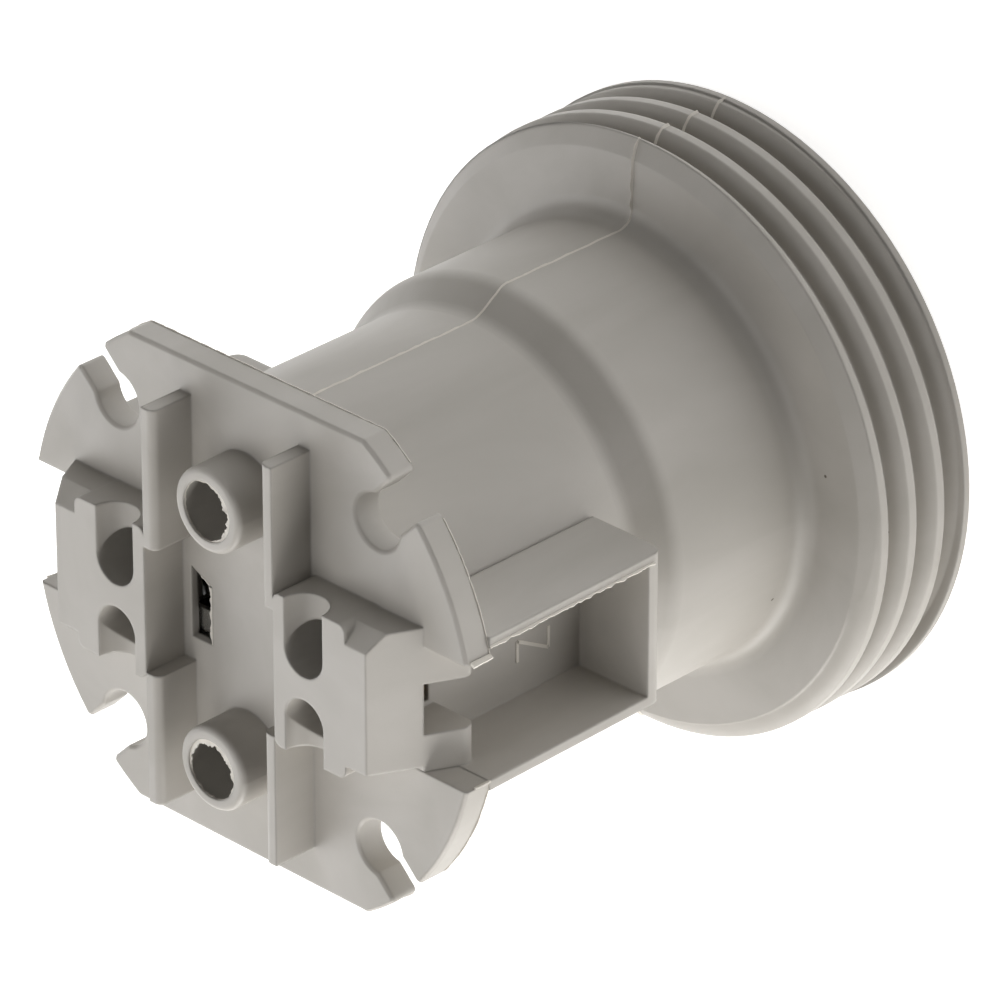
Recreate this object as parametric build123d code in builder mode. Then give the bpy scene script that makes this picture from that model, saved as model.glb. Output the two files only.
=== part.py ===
from build123d import *
import os

os.makedirs("parts", exist_ok=True)

# The holder stands on the rim of its mouth, with its back plate on top.
# +Z runs from the mouth to the back, +X to the neutral terminal.
# All sizes are in millimetres.

# Heights of the housing, from the mouth up
collar_h = 15.5
wide_len = 20.6
cone_len = 4.15
narrow_len = 31.75
plate_t = 3.5
rear_h = 5.8

# Collar with the outer thread for the cover ring
crest_r = 37.0
rim_step = 0.25
rim_land = 0.9
collar_wall = 2.45
collar_chamfer_w = 2.3
collar_chamfer_h = 1.5
shoulder_t = 3.0
thread_pitch = 4.62
thread_depth = 2.15
thread_start_z = 3.9
thread_flank = 0.45
thread_floor = 1.75
thread_curve_h = 3.2
thread_bulge_w = 1.5
thread_bulge_h = 0.7
thread_runout = 1.2

# Barrel
narrow_r = 24.0
narrow_wall = 3.3
barrel_step = 2.7
wide_wall = 2.5
cone_shift = 1.6
shoulder_fillet = 2.2
cone_fillet = 3.0

# Back plate and its four open slots
slot_r = 3.3
slot_mouth = 5.2
slot_land = 1.0
slot_corner = 0.6
plate_rim = 5.8
plate_flat_cut = 5.1
plate_edge = 0.3

# Two ribs that form the channel on the back
rib_in = 8.2
rib_t = 1.8
rib_top_gap = 4.1
rib_low_gap = 5.0
rib_gap_y = 7.8
rib_round = 0.9

# Screw bosses, open right through to the carrier
boss_r = 5.0
boss_wall = 1.43
boss_overlap = 0.24
boss_round = 0.7
tube_len = 14.0
ledge_t = 2.0

# Terminal housings on both sides of the channel
block_inset = 1.75
block_top_y = 10.1
block_low_y = 8.7
block_corner = 1.0
strip_over = 1.35
strip_top_y = 7.9
strip_low_y = 7.0
strip_chamfer = 2.1
strip_slope = 0.5
lug_drop = 5.8
lug_window = 3.1
lug_corner = 1.3

# Wire entries
wire_y = 4.3
wire_r = 2.9
wire_gap = 0.1

# Window in the channel floor, with a thin lip over a recess on the inside
window_lip = 1.0
window_under = 1.5
window_left = 8.7
window_right = 5.55
window_top = 3.8
window_low = 5.0
window_cut = 1.5

# Side pockets beside the barrel, and the notches in the plate over them
notch_half = 7.7
flange_t = 1.2
flange_taper = 0.3
pocket_top_y = 8.6
pocket_low_y = 7.6
pocket_len = 24.7
pocket_depth = 1.35
end_wall_t = 2.3
end_wall_round = 1.5

# Clearances: pieces at rest, pieces that turn, and how far a cut runs past a face
fit_gap = 0.3
run_gap = 0.05
cut_over = 1.0

# Contact carrier and entry ring
post_h = 8.0
post_step = 0.7
disc_t = 4.0
skirt_t = 2.0
skirt_len = 25.0
ring_t = 3.0
ring_entry_gap = 0.3
ring_entry_chamfer = 1.2
bead = 0.6

# Screw shell for the lamp cap, of rolled sheet
shell_pitch = 3.629
shell_major_r = 13.4
shell_depth = 1.15
shell_t = 0.35
shell_turns = 5
shell_collar_h = 1.4
shell_flange_w = 2.8
shell_lip = 0.25

# Rivets of the shell flange
rivet_count = 3
rivet_r = 0.8
rivet_head_r = 1.2
rivet_head_t = 0.5

# Straps, folded from strip
strap_t = 0.8
strap_inset = 2.7
strap_half = 7.3
strap_tail_half = 2.2
strap_tab_sunk = 0.3
strap_bend = 1.0
strap_plate_low = 4.0

# Terminal cages
cage_t = 0.6
cage_x = 9.8
cage_gap = 0.4
tongue_x = 6.8
tongue_y = 3.25
tongue_w = 2.7
tongue_drop = 2.0

# Clamp springs on a pin in each cage
eye_pin_r = 0.8
leaf_t = 0.4
clamp_pin_drop = 2.4
clamp_w = 5.2
clamp_reach_z = 8.2

# Centre contact on its own pin under the carrier
contact_pin_x = 6.0
contact_pin_drop = 1.8
contact_w = 5.2
contact_t = 0.45
contact_crown_x = 0.5
contact_crown_drop = 5.6
contact_tip_x = 3.4
contact_tip_rise = 1.4
contact_lug_t = 1.5

# Carrier screws and washers
screw_r = 1.5
screw_head_step = 0.4
screw_head_t = 2.2
screw_len = 12.0
screw_slot_w = 0.8
screw_slot_d = 1.1
washer_t = 0.6

# Levels worked out from the heights
wide_end_z = collar_h + wide_len
narrow_start_z = wide_end_z + cone_len
plate_front_z = narrow_start_z + narrow_len
plate_back_z = plate_front_z + plate_t
rear_z = plate_back_z + rear_h
tube_end_z = plate_front_z - tube_len
disc_top_z = tube_end_z - post_h
disc_low_z = disc_top_z - disc_t
skirt_low_z = disc_low_z - skirt_len
ring_low_z = skirt_low_z - ring_t

# Radii and places worked out from the sizes
rim_r = crest_r + rim_step
root_r = crest_r - thread_depth
cup_r = root_r - collar_wall
wide_r = narrow_r + barrel_step
wide_bore_r = wide_r - wide_wall
narrow_bore_r = narrow_r - narrow_wall
slot_circle_r = narrow_r + slot_land + slot_r
plate_r = slot_circle_r + plate_rim
plate_flat = plate_r - plate_flat_cut
boss_y = narrow_bore_r - boss_r + boss_overlap
boss_bore_r = boss_r - boss_wall
post_r = boss_r - post_step
washer_r = boss_bore_r - fit_gap
pocket_floor = narrow_r - pocket_depth
block_out = pocket_floor - block_inset
strip_out = pocket_floor + strip_over
flange_out = (plate_r**2 - notch_half**2) ** 0.5
shell_minor_r = shell_major_r - shell_depth
shell_mid_r = (shell_major_r + shell_minor_r) / 2
rivet_circle_r = shell_major_r - rivet_head_r - fit_gap
skirt_in_r = shell_major_r + shell_t + fit_gap
pocket_low_z = plate_front_z - pocket_len
strap_x = narrow_bore_r - strap_inset
wire_x = strap_x - strap_t / 2 - wire_gap - wire_r
cage_out = strap_x - strap_t / 2 - cage_gap
tail_x = contact_pin_x + eye_pin_r + run_gap + contact_t + fit_gap + strap_t / 2
strap_floor_z = disc_top_z + strap_t / 2
tab_z = plate_front_z - fit_gap - strap_t / 2
lug_low_z = plate_back_z - lug_drop
lug_out = strip_out + strip_slope * (rear_z - lug_low_z)
contact_pin_z = disc_low_z - contact_pin_drop
clamp_pin_z = plate_front_z - clamp_pin_drop
clamp_eye_r = eye_pin_r + run_gap + leaf_t
clamp_pin_x = cage_x + cage_t + fit_gap + clamp_eye_r
ear_y = strap_half + fit_gap


# Helical groove of the cover thread: a steep side, a flat floor and a rounded side
groove_turns = collar_h / thread_pitch + thread_runout
groove_low_z = thread_start_z - thread_pitch
groove_out_r = rim_r + cut_over
with BuildPart() as thread_groove:
    with BuildLine():
        groove_path = Helix(
            pitch=thread_pitch,
            height=groove_turns * thread_pitch,
            radius=root_r,
            center=(0, 0, groove_low_z),
        )
    with BuildSketch(Plane.XZ):
        floor_high = groove_low_z - thread_flank
        floor_low = floor_high - thread_floor
        with BuildLine():
            Polyline(
                (groove_out_r, groove_low_z + thread_flank / 2),
                (root_r, floor_high),
                (root_r, floor_low),
            )
            ThreePointArc(
                (root_r, floor_low),
                (root_r + thread_bulge_w, floor_low - thread_bulge_h),
                (groove_out_r, floor_low - thread_curve_h),
            )
            Line(
                (groove_out_r, floor_low - thread_curve_h),
                (groove_out_r, groove_low_z + thread_flank / 2),
            )
        make_face()
    sweep(path=groove_path, is_frenet=True)


# Back plate with its four open slots
with BuildPart() as plate:
    with BuildSketch(Plane.XY.offset(plate_front_z)) as plate_sketch:
        Circle(plate_r)
        Rectangle(2 * plate_r, 2 * plate_flat, mode=Mode.INTERSECT)
        with PolarLocations(slot_circle_r, 4, 45):
            Circle(slot_r, mode=Mode.SUBTRACT)
            with Locations((plate_r / 2, 0)):
                Rectangle(plate_r, slot_mouth, mode=Mode.SUBTRACT)
        fillet(plate_sketch.vertices(), slot_corner)
    extrude(amount=plate_t)
    chamfer(plate.faces().sort_by(Axis.Z)[-1].edges(), plate_edge)


# Outer strips of the terminal housings, with a sloping side that runs down to the lugs
strip_in = block_out - block_corner
lug_in = pocket_floor - narrow_wall / 2
with BuildPart() as strips:
    for side in (1, -1):
        with BuildSketch(Plane.YZ.offset(side * strip_in)):
            with BuildLine():
                Polyline(
                    (-strip_low_y, plate_back_z),
                    (-strip_low_y, rear_z),
                    (strip_top_y, rear_z),
                    (strip_top_y + strip_chamfer, rear_z - strip_chamfer),
                    (strip_top_y + strip_chamfer, plate_back_z),
                    close=True,
                )
            make_face()
        extrude(amount=side * (lug_out - strip_in))
        with BuildSketch(Plane.YZ.offset(side * lug_in)):
            with Locations(((pocket_top_y - pocket_low_y) / 2, (lug_low_z + plate_back_z) / 2)):
                Rectangle(pocket_top_y + pocket_low_y, plate_back_z - lug_low_z)
            with Locations((0, (lug_low_z + plate_back_z) / 2)):
                Rectangle(2 * lug_window, plate_back_z - lug_low_z, mode=Mode.SUBTRACT)
        extrude(amount=side * (lug_out - lug_in))
    with BuildSketch(Plane.XZ):
        with BuildLine():
            Polyline(
                (strip_out, rear_z),
                (lug_out, lug_low_z),
                (-lug_out, lug_low_z),
                (-strip_out, rear_z),
                close=True,
            )
        make_face()
    extrude(amount=plate_r, both=True, mode=Mode.INTERSECT)


# Housing, one moulding from the mouth to the back plate
with BuildPart() as housing:
    # Collar: a long ring with the groove in it, turned down to the collar's outline
    blank_over = 2 * thread_pitch
    with BuildSketch(Plane.XY.offset(groove_low_z - blank_over)):
        Circle(crest_r)
        Circle(wide_bore_r - wide_wall, mode=Mode.SUBTRACT)
    extrude(amount=groove_turns * thread_pitch + 2 * blank_over)
    add(thread_groove.part, mode=Mode.SUBTRACT)
    with BuildSketch(Plane.XZ):
        with BuildLine():
            Polyline(
                (cup_r, 0),
                (groove_out_r, 0),
                (groove_out_r, collar_h - collar_chamfer_h),
                (crest_r - collar_chamfer_w, collar_h),
                (wide_bore_r, collar_h),
                (wide_bore_r, collar_h - shoulder_t),
                (cup_r, collar_h - shoulder_t),
                close=True,
            )
        make_face()
    revolve(axis=Axis.Z, mode=Mode.INTERSECT)
    with BuildSketch():
        Circle(rim_r)
        Circle(cup_r, mode=Mode.SUBTRACT)
    extrude(amount=rim_land)

    # Barrel, closed by the plate; a bead inside holds the entry ring
    with BuildSketch(Plane.XZ):
        with BuildLine():
            Polyline(
                (wide_bore_r, collar_h - shoulder_t),
                (wide_r, collar_h - shoulder_t),
                (wide_r, wide_end_z),
                (narrow_r, narrow_start_z),
                (narrow_r, plate_back_z),
                (0, plate_back_z),
                (0, plate_front_z),
                (narrow_bore_r, plate_front_z),
                (narrow_bore_r, narrow_start_z - cone_shift),
                (wide_bore_r, wide_end_z - cone_shift),
                (wide_bore_r, ring_low_z),
                (wide_bore_r - bead, ring_low_z - bead),
                (wide_bore_r, ring_low_z - 2 * bead),
                close=True,
            )
        make_face()
    revolve(axis=Axis.Z)
    shoulder_edge = housing.edges().filter_by(GeomType.CIRCLE).filter_by(
        lambda e: abs(e.radius - wide_r) < 0.01 and abs(e.center().Z - collar_h) < 0.01
    )
    fillet(shoulder_edge, shoulder_fillet)
    cone_edges = housing.edges().filter_by(GeomType.CIRCLE).filter_by(
        lambda e: (abs(e.radius - wide_r) < 0.01 and abs(e.center().Z - wide_end_z) < 0.01)
        or (abs(e.radius - narrow_r) < 0.01 and abs(e.center().Z - narrow_start_z) < 0.01)
    )
    fillet(cone_edges, cone_fillet)
    add(plate.part)

    # Side pockets: two flanges and an end wall on each side of the barrel
    with BuildSketch(Plane.XZ.offset(pocket_low_y + flange_t)):
        with BuildLine():
            Polyline(
                (flange_out - flange_taper, pocket_low_z - end_wall_t),
                (flange_out, plate_front_z),
                (-flange_out, plate_front_z),
                (-(flange_out - flange_taper), pocket_low_z - end_wall_t),
                close=True,
            )
        make_face()
        Rectangle(
            2 * (narrow_r - narrow_wall / 2),
            4 * plate_back_z,
            mode=Mode.SUBTRACT,
        )
    extrude(amount=-(pocket_low_y + pocket_top_y + 2 * flange_t))
    with BuildSketch(Plane.XY.offset(pocket_low_z)):
        with Locations((0, (pocket_top_y - pocket_low_y) / 2)):
            Rectangle(4 * plate_r, pocket_top_y + pocket_low_y)
        Rectangle(2 * pocket_floor, 4 * plate_r, mode=Mode.SUBTRACT)
    extrude(amount=pocket_len, mode=Mode.SUBTRACT)
    with BuildSketch(Plane.XY.offset(plate_front_z)):
        Rectangle(4 * plate_r, 2 * notch_half)
        Rectangle(2 * pocket_floor, 4 * plate_r, mode=Mode.SUBTRACT)
    extrude(amount=plate_t, mode=Mode.SUBTRACT)
    pocket_corners = housing.edges().filter_by(Axis.Y).filter_by(
        lambda e: abs(e.center().Z - (pocket_low_z - end_wall_t)) < 0.01
        and abs(abs(e.center().X) - (flange_out - flange_taper)) < 0.01
    )
    fillet(pocket_corners, end_wall_round)

    # Ribs
    with BuildSketch(Plane.XY.offset(plate_back_z)):
        for side in (1, -1):
            with Locations((side * (rib_in + rib_t / 2), 0)):
                with Locations((0, (rib_gap_y + plate_flat - rib_top_gap) / 2)):
                    Rectangle(rib_t, plate_flat - rib_top_gap - rib_gap_y)
                with Locations((0, -(rib_gap_y + plate_flat - rib_low_gap) / 2)):
                    Rectangle(rib_t, plate_flat - rib_low_gap - rib_gap_y)
    extrude(amount=rear_h)
    rib_edges = housing.edges().filter_by(Axis.Y).filter_by(
        lambda e: abs(abs(e.center().X) - rib_in) < 0.01 and abs(e.center().Z - rear_z) < 0.01
    )
    fillet(rib_edges, rib_round)

    # Terminal housings: inner blocks
    with BuildSketch(Plane.XY.offset(plate_back_z)):
        for side in (1, -1):
            with Locations((side * (rib_in + rib_t + block_out) / 2, (block_top_y - block_low_y) / 2)):
                RectangleRounded(
                    block_out - rib_in - rib_t,
                    block_top_y + block_low_y,
                    block_corner,
                )
    extrude(amount=rear_h)

    # Terminal housings: outer strips and lugs
    add(strips.part)
    lug_edges = housing.edges().filter_by(Axis.Y).filter_by(
        lambda e: abs(e.center().Z - lug_low_z) < 0.01 and abs(abs(e.center().X) - lug_out) < 0.01
    )
    fillet(lug_edges, lug_corner)

    # Screw bosses on the back, going on as tubes inside the barrel
    with BuildSketch(Plane.XY.offset(tube_end_z)):
        with Locations((0, boss_y), (0, -boss_y)):
            Circle(boss_r)
    extrude(amount=rear_z - tube_end_z)
    boss_edges = housing.edges().filter_by(GeomType.CIRCLE).filter_by(
        lambda e: abs(e.radius - boss_r) < 0.01 and abs(e.center().Z - rear_z) < 0.01
    )
    fillet(boss_edges, boss_round)
    with BuildSketch(Plane.XY.offset(tube_end_z + ledge_t)):
        with Locations((0, boss_y), (0, -boss_y)):
            Circle(boss_bore_r)
    extrude(amount=rear_z - tube_end_z, mode=Mode.SUBTRACT)
    with BuildSketch(Plane.XY.offset(tube_end_z)):
        with Locations((0, boss_y), (0, -boss_y)):
            Circle(screw_r + fit_gap)
    extrude(amount=2 * ledge_t, mode=Mode.SUBTRACT)

    # Wire entries with their half-round grooves
    with BuildSketch(Plane.XY.offset(plate_front_z - cut_over)):
        with GridLocations(2 * wire_x, 2 * wire_y, 2, 2):
            Circle(wire_r)
    extrude(amount=rear_h + plate_t + 2 * cut_over, mode=Mode.SUBTRACT)
    for side in (1, -1):
        with BuildSketch(Plane.XZ.offset(-side * wire_y)):
            with Locations((wire_x, rear_z), (-wire_x, rear_z)):
                Circle(wire_r)
        extrude(amount=-side * (block_top_y + cut_over), mode=Mode.SUBTRACT)

    # Window in the channel floor
    with BuildSketch(Plane.XY.offset(plate_front_z)):
        with BuildLine():
            Polyline(
                (-window_left, -window_low),
                (-window_left, window_top),
                (-window_left + window_cut, window_top - window_cut / 2),
                (-window_right, window_top - window_cut),
                (-window_right, -window_low),
                close=True,
            )
        make_face()
    extrude(amount=plate_t, mode=Mode.SUBTRACT)

    # Recesses under the plate for the tongues of the two cages
    recess_out = cage_x + cage_t + fit_gap
    for side in (1, -1):
        with BuildSketch(Plane.XY.offset(plate_front_z)):
            with Locations(
                (
                    side * (recess_out + window_right) / 2,
                    side * (window_low + window_under - window_top) / 2,
                )
            ):
                Rectangle(recess_out - window_right, window_top + window_low + window_under)
        extrude(amount=plate_t - window_lip, mode=Mode.SUBTRACT)

    # Slits in the barrel wall for the tabs of the straps
    with BuildSketch(Plane.XY.offset(tab_z - strap_t / 2 - fit_gap)):
        with Locations((narrow_r, 0), (-narrow_r, 0)):
            Rectangle(2 * (narrow_wall + cut_over), 2 * (strap_tail_half + fit_gap))
    extrude(amount=strap_t + 2 * fit_gap, mode=Mode.SUBTRACT)
housing.part.label = "housing"
export_step(housing.part, "parts/housing.step")


# Contact carrier: a disc under the screw tubes, with a skirt round the screw shell
with BuildPart() as carrier:
    with BuildSketch(Plane.XY.offset(disc_low_z)):
        Circle(narrow_bore_r - fit_gap)
    extrude(amount=disc_t)
    with BuildSketch(Plane.XY.offset(skirt_low_z)):
        Circle(skirt_in_r + skirt_t)
        Circle(skirt_in_r, mode=Mode.SUBTRACT)
    extrude(amount=skirt_len)
    with BuildSketch(Plane.XY.offset(disc_top_z)):
        with Locations((0, boss_y), (0, -boss_y)):
            Circle(post_r)
    extrude(amount=post_h)
    with BuildSketch(Plane.XY.offset(tube_end_z - screw_len)):
        with Locations((0, boss_y), (0, -boss_y)):
            Circle(screw_r + run_gap)
    extrude(amount=screw_len, mode=Mode.SUBTRACT)
    # Lugs that hold the pin of the centre contact
    with BuildSketch(Plane.XZ):
        with BuildLine():
            lug_half_x = eye_pin_r + contact_lug_t
            Polyline(
                (-contact_pin_x - lug_half_x, disc_low_z),
                (-contact_pin_x - lug_half_x, contact_pin_z),
            )
            ThreePointArc(
                (-contact_pin_x - lug_half_x, contact_pin_z),
                (-contact_pin_x, contact_pin_z - lug_half_x),
                (-contact_pin_x + lug_half_x, contact_pin_z),
            )
            Polyline(
                (-contact_pin_x + lug_half_x, contact_pin_z),
                (-contact_pin_x + lug_half_x, disc_low_z),
                (-contact_pin_x - lug_half_x, disc_low_z),
            )
        make_face()
    extrude(amount=contact_w / 2 + fit_gap + contact_lug_t, both=True)
    with BuildSketch(Plane.XZ):
        with Locations((-contact_pin_x, (disc_low_z + contact_pin_z) / 2 - contact_pin_drop)):
            Rectangle(4 * lug_half_x, 3 * contact_pin_drop)
    extrude(amount=contact_w / 2 + fit_gap, both=True, mode=Mode.SUBTRACT)
    with BuildSketch(Plane.XZ):
        with Locations((-contact_pin_x, contact_pin_z)):
            Circle(eye_pin_r + run_gap)
    extrude(amount=skirt_in_r / 2, both=True, mode=Mode.SUBTRACT)
    # Slit for the tail of the live strap and holes for the shell rivets
    with BuildSketch(Plane.XY.offset(disc_low_z)):
        with Locations((-tail_x - (strap_bend - fit_gap) / 2, 0)):
            Rectangle(strap_t + strap_bend + fit_gap, 2 * (strap_tail_half + fit_gap))
        with PolarLocations(rivet_circle_r, rivet_count):
            Circle(rivet_r + run_gap)
    extrude(amount=disc_t, mode=Mode.SUBTRACT)
carrier.part.label = "contact_carrier"
export_step(carrier.part, "parts/contact_carrier.step")


# Insulating entry ring that the lamp cap passes through
ring_entry_r = shell_major_r + ring_entry_gap
with BuildPart() as ring:
    with BuildSketch(Plane.XZ):
        with BuildLine():
            Polyline(
                (ring_entry_r, ring_low_z + ring_entry_chamfer),
                (ring_entry_r + ring_entry_chamfer, ring_low_z),
                (wide_bore_r - fit_gap, ring_low_z),
                (wide_bore_r - fit_gap, skirt_low_z),
                (ring_entry_r, skirt_low_z),
                close=True,
            )
        make_face()
    revolve(axis=Axis.Z)
ring.part.label = "entry_ring"
export_step(ring.part, "parts/entry_ring.step")


# Screw shell: rolled rounds of the cap thread between a lip and a flange
thread_top_z = disc_low_z - shell_collar_h - shell_pitch / 4
shell_thread_z = thread_top_z - shell_turns * shell_pitch
with BuildPart() as shell:
    with BuildSketch(Plane.XZ):
        with BuildLine():
            for wall in (0, shell_t):
                for turn in range(shell_turns):
                    z = shell_thread_z + turn * shell_pitch
                    ThreePointArc(
                        (shell_mid_r + wall, z),
                        (shell_major_r + wall, z + shell_pitch / 4),
                        (shell_mid_r + wall, z + shell_pitch / 2),
                    )
                    ThreePointArc(
                        (shell_mid_r + wall, z + shell_pitch / 2),
                        (shell_minor_r + wall, z + 3 * shell_pitch / 4),
                        (shell_mid_r + wall, z + shell_pitch),
                    )
            Polyline(
                (shell_mid_r, shell_thread_z),
                (shell_major_r - shell_lip, skirt_low_z),
                (shell_major_r - shell_lip + shell_t, skirt_low_z),
                (shell_mid_r + shell_t, shell_thread_z),
            )
            Polyline(
                (shell_mid_r, thread_top_z),
                (shell_major_r, thread_top_z + shell_pitch / 4),
                (shell_major_r, disc_low_z - shell_t),
                (shell_major_r - shell_flange_w, disc_low_z - shell_t),
                (shell_major_r - shell_flange_w, disc_low_z),
                (shell_major_r + shell_t, disc_low_z),
                (shell_major_r + shell_t, thread_top_z + shell_pitch / 4),
                (shell_mid_r + shell_t, thread_top_z),
            )
        make_face()
    revolve(axis=Axis.Z)
    with BuildSketch(Plane.XY.offset(disc_low_z - shell_t)):
        with PolarLocations(rivet_circle_r, rivet_count):
            Circle(rivet_r + run_gap)
    extrude(amount=shell_t, mode=Mode.SUBTRACT)
shell.part.label = "screw_shell"
export_step(shell.part, "parts/screw_shell.step")


# Shell rivets; the first one also holds the neutral strap
for number in range(rivet_count):
    head_z = disc_top_z + (strap_t if number == 0 else 0)
    place = PolarLocations(rivet_circle_r, 1, number * 360 / rivet_count)
    with BuildPart() as rivet:
        with BuildSketch(Plane.XY.offset(disc_low_z - shell_t - rivet_head_t)):
            with place:
                Circle(rivet_head_r)
        extrude(amount=rivet_head_t)
        with BuildSketch(Plane.XY.offset(disc_low_z - shell_t)):
            with place:
                Circle(rivet_r)
        extrude(amount=head_z - disc_low_z + shell_t)
        with BuildSketch(Plane.XY.offset(head_z)):
            with place:
                Circle(rivet_head_r)
        extrude(amount=rivet_head_t)
    rivet.part.label = f"shell_rivet_{number + 1}"
    export_step(rivet.part, f"parts/shell_rivet_{number + 1}.step")


# Live strap: tab, terminal plate, floor run and tail beside the centre contact
with BuildPart() as live_strap:
    with BuildSketch(Plane.XZ):
        with BuildLine() as live_line:
            FilletPolyline(
                (-pocket_floor + strap_tab_sunk, tab_z),
                (-strap_x, tab_z),
                (-strap_x, strap_floor_z),
                (-tail_x, strap_floor_z),
                (-tail_x, contact_pin_z),
                radius=strap_bend,
            )
        trace(line_width=strap_t)
    extrude(amount=strap_tail_half, both=True)
    with BuildSketch(Plane.YZ.offset(-strap_x - strap_t / 2)):
        plate_low_z = disc_top_z + strap_plate_low
        plate_top_z = tab_z - strap_bend - strap_t / 2
        with Locations((0, (plate_low_z + plate_top_z) / 2)):
            RectangleRounded(2 * strap_half, plate_top_z - plate_low_z, strap_bend)
    extrude(amount=strap_t)
live_strap.part.label = "live_strap"
export_step(live_strap.part, "parts/live_strap.step")


# Neutral strap: it ends under the head of the first shell rivet
with BuildPart() as neutral_strap:
    with BuildSketch(Plane.XZ):
        with BuildLine():
            FilletPolyline(
                (pocket_floor - strap_tab_sunk, tab_z),
                (strap_x, tab_z),
                (strap_x, strap_floor_z),
                (rivet_circle_r - rivet_head_r, strap_floor_z),
                radius=strap_bend,
            )
        trace(line_width=strap_t)
    extrude(amount=strap_tail_half, both=True)
    with BuildSketch(Plane.YZ.offset(strap_x - strap_t / 2)):
        with Locations((0, (plate_low_z + plate_top_z) / 2)):
            RectangleRounded(2 * strap_half, plate_top_z - plate_low_z, strap_bend)
    extrude(amount=strap_t)
    with BuildSketch(Plane.XY.offset(disc_top_z)):
        with Locations((rivet_circle_r, 0)):
            Circle(rivet_r + run_gap)
    extrude(amount=strap_t, mode=Mode.SUBTRACT)
neutral_strap.part.label = "neutral_strap"
export_step(neutral_strap.part, "parts/neutral_strap.step")


# Terminal cages: a channel of sheet steel with two ears that hold the spring pin
cage_top_z = plate_front_z - fit_gap
tongue_top_z = plate_back_z - window_lip - fit_gap
for side, pole in ((-1, "live"), (1, "neutral")):
    with BuildPart() as cage:
        with BuildSketch(Plane.XY.offset(disc_top_z)):
            with Locations((side * (cage_x + cage_out) / 2, 0)):
                Rectangle(cage_out - cage_x, 2 * (ear_y + cage_t))
            with Locations((side * (cage_out + cage_t), 0)):
                Rectangle(2 * (cage_out - cage_x), 2 * ear_y, mode=Mode.SUBTRACT)
        extrude(amount=cage_top_z - disc_top_z)
        with BuildSketch(Plane.XZ):
            with Locations((side * clamp_pin_x, clamp_pin_z)):
                Circle(eye_pin_r + run_gap)
        extrude(amount=2 * ear_y, both=True, mode=Mode.SUBTRACT)
        with BuildSketch(Plane.YZ.offset(side * (cage_x - cut_over))):
            with Locations((0, disc_top_z)):
                Rectangle(
                    2 * (strap_tail_half + fit_gap),
                    2 * (strap_t + rivet_head_t + fit_gap),
                )
        extrude(amount=side * (cage_t + 2 * cut_over), mode=Mode.SUBTRACT)
        # Tongue folded over from the top edge; the live one shows in the window
        with BuildSketch(Plane.XZ.offset(-side * tongue_y)):
            with BuildLine():
                FilletPolyline(
                    (side * (cage_x + cage_t / 2), cage_top_z - tongue_w),
                    (side * (cage_x + cage_t / 2), tongue_top_z - cage_t / 2),
                    (side * tongue_x, tongue_top_z - cage_t / 2),
                    (side * (tongue_x - cage_t), tongue_top_z - tongue_drop),
                    radius=cage_t,
                )
            trace(line_width=cage_t)
        extrude(amount=tongue_w / 2, both=True)
    cage.part.label = f"{pole}_cage"
    export_step(cage.part, f"parts/{pole}_cage.step")

    with BuildPart() as pin:
        with BuildSketch(Plane.XZ):
            with Locations((side * clamp_pin_x, clamp_pin_z)):
                Circle(eye_pin_r)
        extrude(amount=ear_y + cage_t, both=True)
    pin.part.label = f"{pole}_spring_pin"
    export_step(pin.part, f"parts/{pole}_spring_pin.step")

    # Clamp springs: a rolled eye and a leaf that leans on the strap
    for end, place in ((1, "upper"), (-1, "lower")):
        tip_x = strap_x - strap_t / 2 - fit_gap - leaf_t / 2
        with BuildPart() as spring:
            with BuildSketch(Plane.XZ.offset(-end * wire_y)):
                with Locations((side * clamp_pin_x, clamp_pin_z)):
                    Circle(clamp_eye_r)
                with BuildLine():
                    Line(
                        (side * (clamp_pin_x + clamp_eye_r - leaf_t), clamp_pin_z - eye_pin_r),
                        (side * tip_x, clamp_pin_z - clamp_reach_z),
                    )
                trace(line_width=leaf_t)
                with Locations((side * clamp_pin_x, clamp_pin_z)):
                    Circle(eye_pin_r + run_gap, mode=Mode.SUBTRACT)
            extrude(amount=clamp_w / 2, both=True)
        spring.part.label = f"{pole}_clamp_spring_{place}"
        export_step(spring.part, f"parts/{pole}_clamp_spring_{place}.step")


# Centre contact: a sprung tongue with a rolled eye and a turned-up tip
contact_eye_r = eye_pin_r + run_gap + contact_t
contact_crown_z = disc_low_z - contact_crown_drop
with BuildPart() as contact:
    with BuildSketch(Plane.XZ):
        with Locations((-contact_pin_x, contact_pin_z)):
            Circle(contact_eye_r)
        with BuildLine():
            FilletPolyline(
                (-contact_pin_x, contact_pin_z - contact_eye_r + contact_t / 2),
                (-contact_crown_x, contact_crown_z),
                (contact_crown_x, contact_crown_z),
                (contact_tip_x, contact_crown_z + contact_tip_rise),
                radius=contact_t,
            )
        trace(line_width=contact_t)
        with Locations((-contact_pin_x, contact_pin_z)):
            Circle(eye_pin_r + run_gap, mode=Mode.SUBTRACT)
    extrude(amount=contact_w / 2, both=True)
contact.part.label = "centre_contact"
export_step(contact.part, "parts/centre_contact.step")

with BuildPart() as contact_pin:
    with BuildSketch(Plane.XZ):
        with Locations((-contact_pin_x, contact_pin_z)):
            Circle(eye_pin_r)
    extrude(amount=contact_w / 2 + fit_gap + contact_lug_t, both=True)
contact_pin.part.label = "centre_contact_pin"
export_step(contact_pin.part, "parts/centre_contact_pin.step")


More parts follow.
